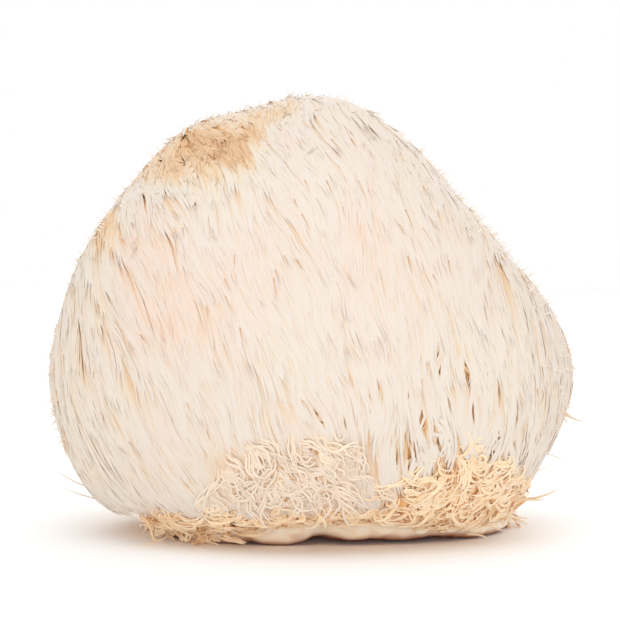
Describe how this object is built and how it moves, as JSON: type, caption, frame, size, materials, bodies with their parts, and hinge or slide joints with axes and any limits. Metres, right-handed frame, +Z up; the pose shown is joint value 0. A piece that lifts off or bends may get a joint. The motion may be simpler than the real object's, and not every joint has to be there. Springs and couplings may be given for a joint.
{
  "type": "lion's mane mushroom",
  "caption": "Whole lion's mane mushroom: a rounded cream fruit body under a coat of hanging spines, resting on the bare foot where it was picked.",
  "frame": {"origin": "middle of the flat cut under the foot, below the middle of the body's box", "axes": "+X along the longest extent, towards the body's right seen from the front; +Z up out of the cut; the front faces -Y"},
  "size_m": [0.1629, 0.1406, 0.1324],
  "materials": {
    "fungus_flesh": "matt cream fungus flesh, a little moist"
  },
  "bodies": {
    "root": {"fruit_body": "fungus_flesh"}
  },
  "joints": []
}
